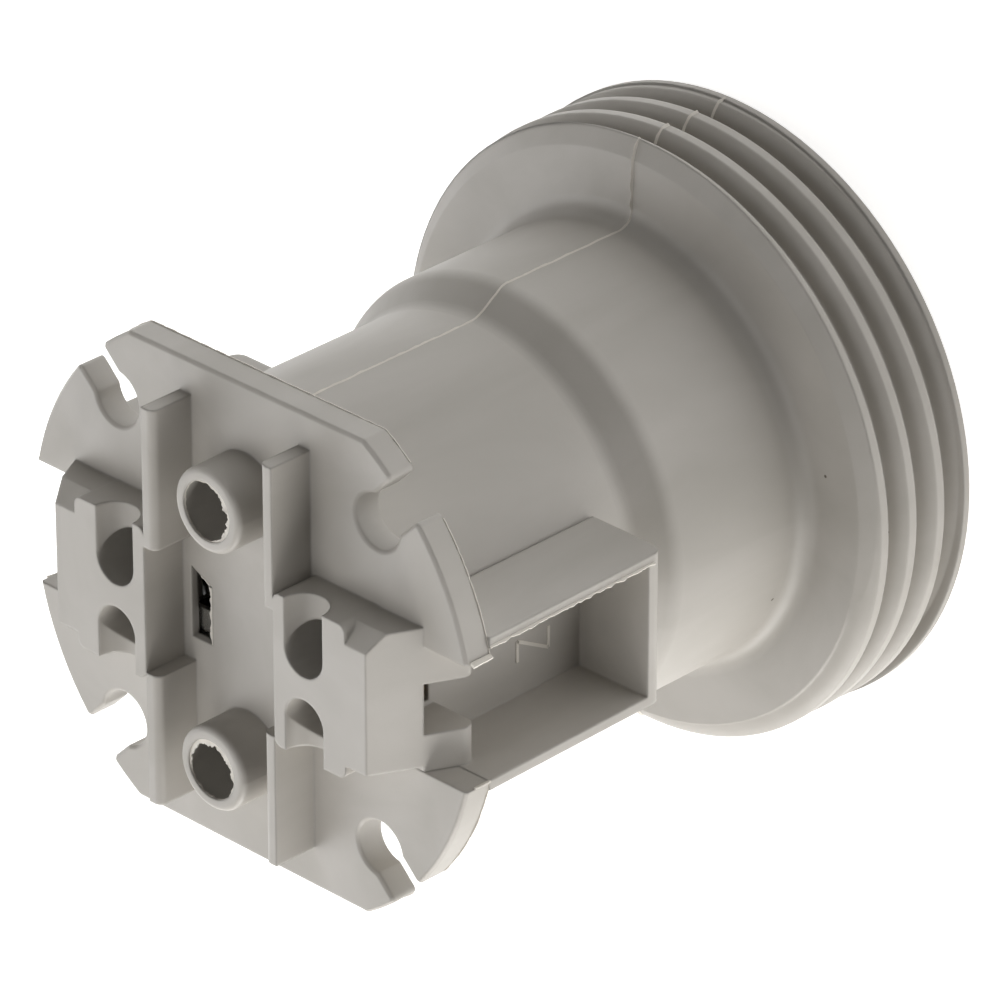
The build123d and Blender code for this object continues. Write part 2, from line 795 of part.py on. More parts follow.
# Carrier screws and their washers, deep in the two bosses
washer_z = tube_end_z + ledge_t
head_low_z = washer_z + washer_t
for number, side in ((1, 1), (2, -1)):
    with BuildPart() as washer:
        with BuildSketch(Plane.XY.offset(washer_z)):
            with Locations((0, side * boss_y)):
                Circle(washer_r)
                Circle(screw_r + run_gap, mode=Mode.SUBTRACT)
        extrude(amount=washer_t)
    washer.part.label = f"screw_washer_{number}"
    export_step(washer.part, f"parts/screw_washer_{number}.step")

    with BuildPart() as screw:
        with BuildSketch(Plane.XY.offset(head_low_z)):
            with Locations((0, side * boss_y)):
                Circle(washer_r - screw_head_step)
        extrude(amount=screw_head_t)
        fillet(screw.edges().group_by(Axis.Z)[-1], screw_head_t / 3)
        with BuildSketch(Plane.XY.offset(head_low_z)):
            with Locations((0, side * boss_y)):
                Circle(screw_r)
        extrude(amount=-screw_len)
        with BuildSketch(Plane.XY.offset(head_low_z + screw_head_t - screw_slot_d)):
            with Locations((0, side * boss_y)):
                Rectangle(3 * washer_r, screw_slot_w)
        extrude(amount=screw_slot_d + cut_over, mode=Mode.SUBTRACT)
    screw.part.label = f"carrier_screw_{number}"
    export_step(screw.part, f"parts/carrier_screw_{number}.step")
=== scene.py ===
import math
from functools import partial

import bmesh
import bpy
from mathutils import Matrix, Vector, noise
from mathutils.bvhtree import BVHTree


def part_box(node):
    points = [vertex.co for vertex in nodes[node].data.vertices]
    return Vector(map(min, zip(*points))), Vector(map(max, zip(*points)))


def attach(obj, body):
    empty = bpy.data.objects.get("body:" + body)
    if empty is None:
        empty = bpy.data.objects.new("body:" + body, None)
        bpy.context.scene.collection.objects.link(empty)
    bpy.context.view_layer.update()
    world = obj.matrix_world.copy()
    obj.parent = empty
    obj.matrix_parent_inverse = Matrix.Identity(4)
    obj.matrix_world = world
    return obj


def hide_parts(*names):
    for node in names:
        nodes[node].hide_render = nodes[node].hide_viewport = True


bl_info = {
    "name": "Lamp holder",
    "version": (1, 0, 0),
    "blender": (4, 5, 0),
    "location": "View3D > Sidebar > Lamp holder",
    "description": "Finishes, moulding marks and rolled shell of a screw lamp holder",
    "category": "Object",
}

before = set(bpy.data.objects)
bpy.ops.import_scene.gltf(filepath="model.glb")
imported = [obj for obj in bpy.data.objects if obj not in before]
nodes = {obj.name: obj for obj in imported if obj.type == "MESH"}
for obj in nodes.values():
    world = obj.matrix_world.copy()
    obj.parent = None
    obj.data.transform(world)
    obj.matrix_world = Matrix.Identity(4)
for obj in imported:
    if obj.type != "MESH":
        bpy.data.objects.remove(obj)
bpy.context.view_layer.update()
mm = 0.001

# Gap between fitted parts, and how deep a film is rooted in the housing
fit_gap = 0.3 * mm
root_depth = 0.1 * mm

# Places on the CAD housing, from the lamp axis and from the plane of the mouth
collar_top = 15.5 * mm
plate_front = 72.0 * mm
plate_back = 75.5 * mm
plate_r = 34.1 * mm
plate_flat = 29.0 * mm
slot_half = 3.3 * mm
notch_half = 7.7 * mm
flange_out = 33.22 * mm
flange_taper = 0.3 * mm
pocket_top = 8.6 * mm
pocket_low = 45.0 * mm
end_round = 1.5 * mm
window_left = 8.7 * mm
window_right = 5.55 * mm
window_top = 3.8 * mm
window_low = 5.0 * mm
window_cut = 1.5 * mm
letter_corner = Vector((22.65, -0.8, 57.0)) * mm

# Stage, in metres, and the camera's lens in millimetres
studio_aim = Vector((0, 0, 40 * mm))
camera_place = Vector((0.5499, 0.4256, 0.5982))
camera_right = Vector((0.7146, 0.0, -0.6996))
camera_back = Vector((0.6152, 0.4761, 0.6284))
camera_lens = 289.54


def linear(code):
    """Linear colour of an sRGB hex value."""
    parts = [int(code[i : i + 2], 16) / 255 for i in (1, 3, 5)]
    return tuple(c / 12.92 if c <= 0.04045 else ((c + 0.055) / 1.055) ** 2.4 for c in parts)


class HolderSizes(bpy.types.PropertyGroup):
    """Sizes of what is added to the CAD solids"""

    seam_width: bpy.props.FloatProperty(
        name="Seam width",
        description="Width of the ridge where the two halves of the mould met",
        default=0.38 * mm,
        min=0.05 * mm,
        max=1 * mm,
        subtype="DISTANCE",
        unit="LENGTH",
    )
    seam_height: bpy.props.FloatProperty(
        name="Seam height",
        description="Height of the ridge where the two halves of the mould met",
        default=0.2 * mm,
        min=0.02 * mm,
        max=0.5 * mm,
        subtype="DISTANCE",
        unit="LENGTH",
    )
    flash_reach: bpy.props.FloatProperty(
        name="Flash reach",
        description="How far the ragged film of plastic reaches into a screw boss",
        default=1.0 * mm,
        min=0.1 * mm,
        max=1.5 * mm,
        subtype="DISTANCE",
        unit="LENGTH",
    )
    edge_radius: bpy.props.FloatProperty(
        name="Edge radius",
        description="Radius that the mould leaves on every edge of the housing",
        default=0.45 * mm,
        min=0.05 * mm,
        max=1 * mm,
        subtype="DISTANCE",
        unit="LENGTH",
    )
    fin_reach: bpy.props.FloatProperty(
        name="Fin reach",
        description="How far the ragged fins stand off the edges of the plate, pockets and window",
        default=0.3 * mm,
        min=0.05 * mm,
        max=1 * mm,
        subtype="DISTANCE",
        unit="LENGTH",
    )
    letter_height: bpy.props.FloatProperty(
        name="Letter height",
        description="Height of the raised N beside the neutral terminal",
        default=2.6 * mm,
        min=1 * mm,
        max=6 * mm,
        subtype="DISTANCE",
        unit="LENGTH",
    )
    shell_pitch: bpy.props.FloatProperty(
        name="Shell pitch",
        description="Pitch of the rolled thread for the lamp cap",
        default=3.629 * mm,
        min=2 * mm,
        max=6 * mm,
        subtype="DISTANCE",
        unit="LENGTH",
    )


class HolderColours(bpy.types.PropertyGroup):
    """Colours of the finishes"""

    housing: bpy.props.FloatVectorProperty(
        name="Housing",
        description="Warm light grey of the moulded housing",
        default=linear("#B5B1AB"),
        subtype="COLOR",
        min=0,
        max=1,
    )
    housing_dark: bpy.props.FloatVectorProperty(
        name="Housing, darker flow",
        description="Slightly darker grey where the plastic flowed last",
        default=linear("#A9A59E"),
        subtype="COLOR",
        min=0,
        max=1,
    )
    # Paler grey of the films, fins, seams and letter: partly the thin plastic's own paler tone, partly a
    # painted highlight along these raised lines
    flash: bpy.props.FloatVectorProperty(
        name="Flash",
        description="Paler grey of the plastic where it is a thin film",
        default=linear("#DAD5CC"),
        subtype="COLOR",
        min=0,
        max=1,
    )
    speck: bpy.props.FloatVectorProperty(
        name="Specks",
        description="Burnt specks in the plastic",
        default=linear("#5C554A"),
        subtype="COLOR",
        min=0,
        max=1,
    )
    carrier: bpy.props.FloatVectorProperty(
        name="Carrier",
        description="Cream of the contact carrier",
        default=linear("#CFC8B6"),
        subtype="COLOR",
        min=0,
        max=1,
    )
    floor: bpy.props.FloatVectorProperty(
        name="Floor",
        description="Pale floor of the studio",
        default=linear("#F6F5F3"),
        subtype="COLOR",
        min=0,
        max=1,
    )


def sizes():
    """The sizes that a user can change."""
    return bpy.context.scene.holder_sizes


def colours():
    """The colours that a user can change."""
    return bpy.context.scene.holder_colours


# Shared helpers


def add(tree, kind, settings=None, links=None, stops=()):
    """Adds a node with its settings, what is linked to or set on its sockets, and a ramp's greys."""
    node = tree.nodes.new(kind)
    for name, value in (settings or {}).items():
        setattr(node, name, value)
    for name, value in (links or {}).items():
        socket = node.inputs[name]
        if isinstance(value, bpy.types.NodeSocket):
            tree.links.new(value, socket)
        else:
            socket.default_value = value
    for number, (place, level) in enumerate(stops):
        node.color_ramp.elements[number].position = place
        node.color_ramp.elements[number].color = (level, level, level, 1)
    return node


def new_material(name):
    """An empty material made of nodes, and its node tree."""
    made = bpy.data.materials.new(name)
    made.use_nodes = True
    made.node_tree.nodes.clear()
    return made, made.node_tree


def dress(name, material):
    """Gives a CAD node its finish."""
    mesh = nodes[name].data
    mesh.materials.clear()
    mesh.materials.append(material)


def verts_in(geometry):
    """The vertices among what a bmesh operator gives back."""
    return [g for g in geometry if isinstance(g, bmesh.types.BMVert)]


def edges_in(geometry):
    """The edges among what a bmesh operator gives back."""
    return [g for g in geometry if isinstance(g, bmesh.types.BMEdge)]


def finished(bm, name, body, material, smooth=None):
    """Turns a bmesh into a piece that rides on a body; smooth is the sharpest angle left soft."""
    mesh = bpy.data.meshes.new(name)
    bm.to_mesh(mesh)
    bm.free()
    mesh.materials.append(material)
    if smooth is not None:
        mesh.shade_smooth()
        mesh.set_sharp_from_angle(angle=math.radians(smooth))
    piece = bpy.data.objects.new(name, mesh)
    bpy.context.scene.collection.objects.link(piece)
    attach(piece, body)
    return piece


# Materials


def moulded_plastic(name, light, dark, speck, edge, roughness):
    """Plastic from a steel mould: an even satin, with fine grain, faint flow and a few specks."""
    made, tree = new_material(name)
    place = add(tree, "ShaderNodeTexCoord").outputs["Object"]
    # Flow of the melt along the barrel, in patches about 15 mm wide and three times as long
    along = add(
        tree,
        "ShaderNodeMapping",
        links={"Vector": place, "Scale": (1 / (15 * mm), 1 / (15 * mm), 1 / (45 * mm))},
    ).outputs["Vector"]
    flow = add(
        tree,
        "ShaderNodeTexNoise",
        links={"Vector": along, "Scale": 1.0, "Detail": 4.0, "Roughness": 0.55, "Distortion": 0.6},
    ).outputs["Fac"]
    flow_share = add(
        tree, "ShaderNodeValToRGB", links={"Fac": flow}, stops=((0.3, 0.0), (0.72, 1.0))
    ).outputs["Color"]
    body = add(
        tree,
        "ShaderNodeMix",
        {"data_type": "RGBA"},
        {0: flow_share, 6: (*light, 1), 7: (*dark, 1)},
    ).outputs[2]
    # Burnt specks 0.2 to 0.4 mm across, in about one 5 mm cell out of nine
    cells = add(
        tree,
        "ShaderNodeTexVoronoi",
        {"feature": "F1"},
        {"Vector": place, "Scale": 1 / (5 * mm), "Randomness": 1.0},
    )
    chosen = add(
        tree, "ShaderNodeSeparateColor", links={"Color": cells.outputs["Color"]}
    ).outputs["Red"]
    rare = add(
        tree, "ShaderNodeValToRGB", links={"Fac": chosen}, stops=((0.88, 0.0), (0.9, 1.0))
    ).outputs["Color"]
    near = add(
        tree,
        "ShaderNodeValToRGB",
        links={"Fac": cells.outputs["Distance"]},
        stops=((0.03, 1.0), (0.05, 0.0)),
    ).outputs["Color"]
    spot = add(tree, "ShaderNodeMath", {"operation": "MULTIPLY"}, {0: rare, 1: near}).outputs[0]
    colour = add(
        tree,
        "ShaderNodeMix",
        {"data_type": "RGBA"},
        {0: spot, 6: body, 7: (*speck, 1)},
    ).outputs[2]
    # Grain of the eroded mould, drawn at 0.35 mm because the real grain is too fine to show,
    # and slow waves of shrinkage, 9 mm
    grain = add(
        tree,
        "ShaderNodeTexNoise",
        links={"Vector": place, "Scale": 1 / (0.35 * mm), "Detail": 3.0, "Roughness": 0.6},
    ).outputs["Fac"]
    waves = add(
        tree,
        "ShaderNodeTexNoise",
        links={"Vector": place, "Scale": 1 / (9 * mm), "Detail": 1.0, "Roughness": 0.4},
    ).outputs["Fac"]
    rounded = add(tree, "ShaderNodeBevel", {"samples": 6}, {"Radius": edge}).outputs["Normal"]
    slow = add(
        tree,
        "ShaderNodeBump",
        links={"Height": waves, "Distance": 0.09 * mm, "Strength": 0.5, "Normal": rounded},
    ).outputs["Normal"]
    normal = add(
        tree,
        "ShaderNodeBump",
        links={"Height": grain, "Distance": 0.012 * mm, "Strength": 0.5, "Normal": slow},
    ).outputs["Normal"]
    # The satin is a little duller where the patches of flow are darker
    sheen = add(
        tree,
        "ShaderNodeValToRGB",
        links={"Fac": flow},
        stops=((0.2, roughness - 0.05), (0.8, roughness + 0.06)),
    ).outputs["Color"]
    shader = add(
        tree,
        "ShaderNodeBsdfPrincipled",
        links={"Base Color": colour, "Roughness": sheen, "Normal": normal, "IOR": 1.5},
    )
    add(tree, "ShaderNodeOutputMaterial", links={"Surface": shader.outputs["BSDF"]})
    return made


def rolled_metal(name, light, dark, roughness, line=0.12 * mm, along=2):
    """Rolled and pressed sheet metal: a soft mirror, drawn out in fine lines along one axis."""
    made, tree = new_material(name)
    place = add(tree, "ShaderNodeTexCoord").outputs["Object"]
    # Rolling lines, 25 times as long as they are wide, and drawn wider than the real ones to show
    stretch = [1 / line] * 3
    stretch[along] = 1 / (25 * line)
    drawn = add(tree, "ShaderNodeMapping", links={"Vector": place, "Scale": stretch}).outputs["Vector"]
    lines = add(
        tree,
        "ShaderNodeTexNoise",
        links={"Vector": drawn, "Scale": 1.0, "Detail": 3.0, "Roughness": 0.6},
    ).outputs["Fac"]
    # Handling tarnish in patches of 4 mm
    tarnish = add(
        tree,
        "ShaderNodeTexNoise",
        links={"Vector": place, "Scale": 1 / (4 * mm), "Detail": 4.0, "Roughness": 0.6},
    ).outputs["Fac"]
    share = add(
        tree, "ShaderNodeValToRGB", links={"Fac": tarnish}, stops=((0.35, 0.0), (0.7, 1.0))
    ).outputs["Color"]
    colour = add(
        tree,
        "ShaderNodeMix",
        {"data_type": "RGBA"},
        {0: share, 6: (*light, 1), 7: (*dark, 1)},
    ).outputs[2]
    dull = add(
        tree,
        "ShaderNodeValToRGB",
        links={"Fac": lines},
        stops=((0.3, roughness - 0.06), (0.7, roughness + 0.1)),
    ).outputs["Color"]
    # The press tool rounds the sheared edges by 0.08 mm
    rounded = add(tree, "ShaderNodeBevel", {"samples": 4}, {"Radius": 0.08 * mm}).outputs["Normal"]
    normal = add(
        tree,
        "ShaderNodeBump",
        links={"Height": lines, "Distance": 0.01 * mm, "Strength": 0.6, "Normal": rounded},
    ).outputs["Normal"]
    shader = add(
        tree,
        "ShaderNodeBsdfPrincipled",
        links={"Base Color": colour, "Metallic": 1.0, "Roughness": dull, "Normal": normal},
    )
    add(tree, "ShaderNodeOutputMaterial", links={"Surface": shader.outputs["BSDF"]})
    return made


def finish_of(name):
    """The finish with this name, made once."""
    found = bpy.data.materials.get(name)
    if found:
        return found
    c = colours()
    recipes = {
        # Glass filled polyester from an eroded mould: warm light grey, satin, with soft edges
        "Polyester, moulded satin": partial(
            moulded_plastic,
            light=c.housing,
            dark=c.housing_dark,
            speck=c.speck,
            edge=sizes().edge_radius,
            roughness=0.46,
        ),
        # The same plastic squeezed out thin: paler, even and with crisp edges; the paler colour is
        # partly a painted highlight along the raised seams, fins and letter
        "Polyester, thin flash": partial(
            moulded_plastic, light=c.flash, dark=c.flash, speck=c.flash, edge=0.004 * mm, roughness=0.5
        ),
        # Urea from a polished mould: cream, and a little shinier than the housing
        "Urea plastic, moulded": partial(
            moulded_plastic,
            light=c.carrier,
            dark=linear("#C3BBA7"),
            speck=linear("#8A7F6B"),
            edge=0.2 * mm,
            roughness=0.38,
        ),
        # Nickel on rolled brass: a bright warm grey with a soft mirror
        "Brass, nickel plated and rolled": partial(
            rolled_metal, light=linear("#CFC9BA"), dark=linear("#B3AB98"), roughness=0.24
        ),
        # Bare brass strip, tarnished by handling: dull straw yellow
        "Brass strip, rolled": partial(
            rolled_metal, light=linear("#B49A66"), dark=linear("#85704A"), roughness=0.42
        ),
        # Phosphor bronze strip, rolled along X: reddish brown with fine bright lines
        "Bronze strip, rolled": partial(
            rolled_metal, light=linear("#C08F5C"), dark=linear("#96683E"), roughness=0.28, along=0
        ),
        # Hardened spring strip: neutral grey, half dull
        "Spring steel, blued grey": partial(
            rolled_metal, light=linear("#A5A6A6"), dark=linear("#7F8183"), roughness=0.3
        ),
        # Zinc plated pressings and screws: the brightest of the metals, with coarser lines
        "Steel, zinc plated": partial(
            rolled_metal, light=linear("#E2E2E0"), dark=linear("#C4C4C1"), roughness=0.2, line=0.15 * mm
        ),
    }
    return recipes[name](name)


# Finishes of the CAD solids


class HOLDER_OT_mouldings(bpy.types.Operator):
    """Gives the housing, the entry ring and the contact carrier their moulded finishes"""

    bl_idname = "holder.mouldings"
    bl_label = "Mouldings"

    def execute(self, context):
        dress("housing", finish_of("Polyester, moulded satin"))
        dress("entry_ring", finish_of("Polyester, moulded satin"))
        dress("contact_carrier", finish_of("Urea plastic, moulded"))
        return {"FINISHED"}


class HOLDER_OT_metals(bpy.types.Operator):
    """Gives the contacts, springs, cages, rivets and screws their metal finishes"""

    bl_idname = "holder.metals"
    bl_label = "Metals"

    def execute(self, context):
        finishes = {
            "Brass, nickel plated and rolled": ("screw_shell", "shell_rivet"),
            "Bronze strip, rolled": ("centre_contact",),
            # The contact's pin takes this finish over the contact's
            "Brass strip, rolled": ("live_strap", "neutral_strap", "centre_contact_pin"),
            "Spring steel, blued grey": ("live_clamp_spring", "neutral_clamp_spring"),
            "Steel, zinc plated": (
                "carrier_screw",
                "screw_washer",
                "live_cage",
                "neutral_cage",
                "live_spring_pin",
                "neutral_spring_pin",
            ),
        }
        for finish, starts in finishes.items():
            for node in nodes:
                if node.startswith(starts):
                    dress(node, finish_of(finish))
        return {"FINISHED"}


# Mould seams


def surface_of(name):
    """A search tree over a CAD node's faces."""
    mesh = nodes[name].data
    return BVHTree.FromPolygons([v.co for v in mesh.vertices], [p.vertices for p in mesh.polygons])


def parting_line(skin, side):
    """Points and normals down one side of the housing, where the two halves of the mould met."""
    # From just under the back plate to just over the rim
    start, end = plate_front - 0.3 * mm, 0.5 * mm
    rows = 260
    outside = 200 * mm
    stride, feeler, level = 0.3 * mm, 2 * mm, 0.5 * mm
    sway, sway_length = 0.12 * mm, 2.5 * mm
    line = []
    for i in range(rows + 1):
        z = start + (end - start) * i / rows
        hit, normal, _, _ = skin.ray_cast(Vector((0, side * outside, z)), Vector((0, -side, 0)))
        if hit is None:
            raise RuntimeError("the seam found no housing")
        # Faces that lie across the seam's way are felt from the back plate's side as well
        last = line[-1][0].y if line else hit.y
        gap = int((hit.y - last) * side / stride)
        for j in range(1, gap):
            y = last + (hit.y - last) * j / gap
            down, way, _, _ = skin.ray_cast(Vector((0, y, z + feeler)), Vector((0, 0, -1)))
            if down is not None and abs(down.z - z) < level:
                line.append((down, way))
        line.append((hit, normal))
    for spot, _ in line:
        spot.x = sway * noise.noise(Vector((0, side * 7, (spot.z - spot.y) / sway_length)))
    return line


class HOLDER_OT_seams(bpy.types.Operator):
    """Adds the ridge that the parting line of the mould left on two sides of the housing"""

    bl_idname = "holder.seams"
    bl_label = "Mould seams"

    def execute(self, context):
        half = sizes().seam_width / 2
        height = sizes().seam_height
        sunk = 0.03 * mm
        rough_share, rough_length = 0.6, 1.2 * mm
        # The ridge stands higher on the collar's thread, where the mould closed less well
        thread_share = 1.7
        skin = surface_of("housing")
        for name, side in (("seam_upper", 1), ("seam_lower", -1)):
            line = parting_line(skin, side)
            bm = bmesh.new()
            verts = [bm.verts.new(p - n * sunk - Vector((half, 0, 0))) for p, n in line]
            edges = [bm.edges.new(pair) for pair in zip(verts, verts[1:])]
            # One strip up to the top of the ridge, and one down its other side
            for shift, lift in ((0, height), (half, 0)):
                edges = edges_in(bmesh.ops.extrude_edge_only(bm, edges=edges)["geom"])
                for v in {v for e in edges for v in e.verts}:
                    p, n = min(line, key=lambda row: (row[0].z - v.co.z) ** 2 + (row[0].y - v.co.y) ** 2)
                    place = Vector((0, side * 3, (v.co.z - v.co.y) / rough_length))
                    tall = lift * (1 + rough_share * noise.noise(place))
                    if p.z < collar_top:
                        tall *= thread_share
                    v.co = p + n * (tall - sunk) + Vector((shift, 0, 0))
            bmesh.ops.recalc_face_normals(bm, faces=bm.faces)
            if sum(f.normal.y * side for f in bm.faces) < 0:
                bmesh.ops.reverse_faces(bm, faces=bm.faces)
            # The seam's paler finish is partly a painted highlight along the ridge
            flash = finish_of("Polyester, thin flash")
            finished(bm, name, "holder", flash, smooth=50)
        return {"FINISHED"}


# Flash and fins


def ragged(seed, place, grain):
    """An uneven share from 0 to 1 that changes along a place."""
    coarse = noise.noise(Vector((seed, 0.3, place / grain)))
    fine = noise.noise(Vector((seed, 5.3, 3.1 * place / grain)))
    return min(1, max(0, 0.5 + 0.7 * coarse + 0.4 * fine))


def film(name, rims, closed=False):
    """Makes a film of plastic from rims, which are rows of (root, tip, thickness as a vector)."""
    bm = bmesh.new()
    for rim in rims:
        roots = [bm.verts.new(root) for root, _, _ in rim]
        ends = roots + roots[:1] if closed else roots
        edges = [bm.edges.new(pair) for pair in zip(ends, ends[1:])]
        # The row of roots is drawn out to the tips, and that strip is drawn up to its thickness
        strip = bmesh.ops.extrude_edge_only(bm, edges=edges)["geom"]
        thickness = {}
        for root, (_, place, thick) in zip(roots, rim):
            tip = next(e.other_vert(root) for e in root.link_edges if e not in edges)
            tip.co = place
            thickness[root] = thickness[tip] = thick
        faces = [g for g in strip if isinstance(g, bmesh.types.BMFace)]
        raised = bmesh.ops.extrude_face_region(bm, geom=faces, use_keep_orig=True)["geom"]
        for vert in verts_in(raised):
            below = next(v for v in (e.other_vert(vert) for e in vert.link_edges) if v in thickness)
            vert.co += thickness[below]
    bmesh.ops.recalc_face_normals(bm, faces=bm.faces)
    # The film's paler finish is partly a painted highlight along its edge
    finished(bm, name, "holder", finish_of("Polyester, thin flash"), smooth=40)


class HOLDER_OT_boss_flash(bpy.types.Operator):
    """Adds the ragged film of plastic that reaches into the mouth of each screw boss"""

    bl_idname = "holder.boss_flash"
    bl_label = "Boss flash"

    def execute(self, context):
        depth = 0.42 * mm
        thick = Vector((0, 0, 0.2 * mm))
        curl = 0.2 * mm
        least, even = 0.1, 0.3
        spots = 150
        # Side that the film is widest on, in degrees round from +X, and how far round it goes
        for number, widest, spread in ((1, 15, 110), (2, 80, 130)):
            low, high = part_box(f"screw_washer_{number}")
            centre = (low + high) / 2
            middle = Vector((centre.x, centre.y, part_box("housing")[1].z - depth))
            bore = (high.x - low.x) / 2 + fit_gap
            rim = []
            for i in range(spots):
                angle = 360 * i / spots
                off = abs((angle - widest + 180) % 360 - 180)
                share = max(least, 1 - (off / spread) ** 2)
                share *= even + (1 - even) * ragged(number, i * mm, 7 * mm)
                way = Vector((math.cos(math.radians(angle)), math.sin(math.radians(angle)), 0))
                tip = middle + way * (bore - sizes().flash_reach * share)
                tip.z += curl * ragged(number + 3, i * mm, 5 * mm)
                rim.append((middle + way * (bore + root_depth), tip, thick))
            film(f"boss_flash_{number}", [rim], closed=True)
        return {"FINISHED"}


def straight(start, end):
    """Points along a straight edge, about 0.22 mm apart."""
    count = max(2, round((end - start).length / (0.22 * mm)))
    return [start.lerp(end, i / (count - 1)) for i in range(count)]


def fin(path, seed, reach, thick, lean=None, least=0.2):
    """A ragged rim off a path, leaning one way or else straight out from the lamp axis."""
    grain = 1.1 * mm
    rim = []
    along = 0
    for i, spot in enumerate(path):
        ahead = path[min(i + 1, len(path) - 1)] - path[max(i - 1, 0)]
        way = lean or Vector((spot.x, spot.y, 0)).normalized()
        tall = reach * (least + (1 - least) * ragged(seed, along, grain))
        rim.append((spot - way * root_depth, spot + way * tall, ahead.cross(way).normalized() * thick))
        if i + 1 < len(path):
            along += (path[i + 1] - spot).length
    return rim


def plate_edges():
    """The front edge of the back plate, as one path for each stretch between slots and notches."""
    quarter_degrees = 1440
    proud = 0.02 * mm
    paths = []
    path = []
    for i in range(quarter_degrees + 1):
        angle = math.tau * i / quarter_degrees
        x, y = plate_r * math.cos(angle), plate_r * math.sin(angle)
        if abs(y) > plate_flat:
            x, y = x * plate_flat / abs(y), math.copysign(plate_flat, y)
        from_slot = abs(abs(x) - abs(y)) / math.sqrt(2)
        if from_slot > slot_half and abs(y) > notch_half:
            path.append(Vector((x, y, plate_front + proud)))
        elif path:
            paths.append(path)
            path = []
    return paths


class HOLDER_OT_fins(bpy.types.Operator):
    """Adds the ragged fins along the edges of the plate, the pockets, the notches and the window"""

    bl_idname = "holder.fins"
    bl_label = "Edge fins"

    def execute(self, context):
        reach = sizes().fin_reach
        film(
            "plate_fin",
            [
                fin(path, seed=40 + i, reach=0.5 * reach, thick=0.1 * mm)
                for i, path in enumerate(plate_edges())
            ],
        )
        for side, name in ((1, "right"), (-1, "left")):
            droop = Vector((0.9 * side, -0.45, 0)).normalized()
            rise = Vector((side, 0.2, 0)).normalized()
            # Lower edge of the upper flange, from the end wall's round corner to the plate
            mouth_y = pocket_top + 0.1 * mm
            mouth = straight(
                Vector((side * (flange_out - flange_taper), mouth_y, pocket_low + end_round)),
                Vector((side * flange_out, mouth_y, plate_front)),
            )
            # Corners of the plate above and below the notch
            upper = straight(
                Vector((side * flange_out, notch_half, plate_front)),
                Vector((side * flange_out, notch_half, plate_back - 0.6 * mm)),
            )
            lower = straight(
                Vector((side * flange_out, -notch_half, plate_front)),
                Vector((side * flange_out, -notch_half, plate_back - 1.2 * mm)),
            )
            film(
                f"{name}_pocket_fin",
                [
                    fin(mouth, seed=10 + side, reach=1.1 * reach, thick=0.16 * mm, lean=droop),
                    fin(upper, seed=14 + side, reach=2 * reach, thick=0.3 * mm, lean=droop, least=0.7),
                    fin(lower, seed=18 + side, reach=1.3 * reach, thick=0.2 * mm, lean=rise),
                ],
            )
        # Edge of the window beside the middle of the channel, and its sloping corner
        lip = plate_back - 0.2 * mm
        corner = Vector((-window_right, window_top - window_cut, lip))
        beside = straight(Vector((-window_right, -window_low, lip)), corner)
        slope = straight(corner, Vector((-window_left + window_cut, window_top - window_cut / 2, lip)))
        film(
            "window_fin",
            [
                fin(beside, seed=31, reach=1.7 * reach, thick=0.15 * mm, lean=Vector((-1, 0, 0))),
                fin(slope, seed=33, reach=1.5 * reach, thick=0.15 * mm, lean=Vector((-0.4, -0.9, 0))),
            ],
        )
        return {"FINISHED"}


# Letter and screw shell


class HOLDER_OT_letter(bpy.types.Operator):
    """Adds the raised N on the wall of the pocket beside the neutral terminal"""

    bl_idname = "holder.letter"
    bl_label = "Letter N"

    def execute(self, context):
        tall = sizes().letter_height
        # The letter lies on its side and is drawn out along the barrel
        wide = 1.85 * tall
        stroke = 0.4 * mm
        high = 0.1 * mm
        sunk = 0.05 * mm
        foot, head = letter_corner.y - tall, letter_corner.y
        near, far = letter_corner.z, letter_corner.z - wide
        strokes = (
            ((foot, near), (head, near)),
            ((head, near), (foot, far)),
            ((foot, far), (head, far)),
        )
        bm = bmesh.new()
        for (y0, z0), (y1, z1) in strokes:
            start, end = Vector((letter_corner.x, y0, z0)), Vector((letter_corner.x, y1, z1))
            way = (end - start).normalized()
            across = way.cross(Vector((1, 0, 0))) * stroke / 2
            corners = [start - across, start + across, end + across, end - across]
            face = bm.faces.new([bm.verts.new(c - Vector((sunk, 0, 0))) for c in corners])
            made = bmesh.ops.extrude_face_region(bm, geom=[face], use_keep_orig=True)["geom"]
            bmesh.ops.translate(bm, vec=(high + sunk, 0, 0), verts=verts_in(made))
        bmesh.ops.recalc_face_normals(bm, faces=bm.faces)
        # The letter's paler finish is a painted highlight on its raised strokes
        finished(bm, "letter_n", "holder", finish_of("Polyester, thin flash"))
        return {"FINISHED"}


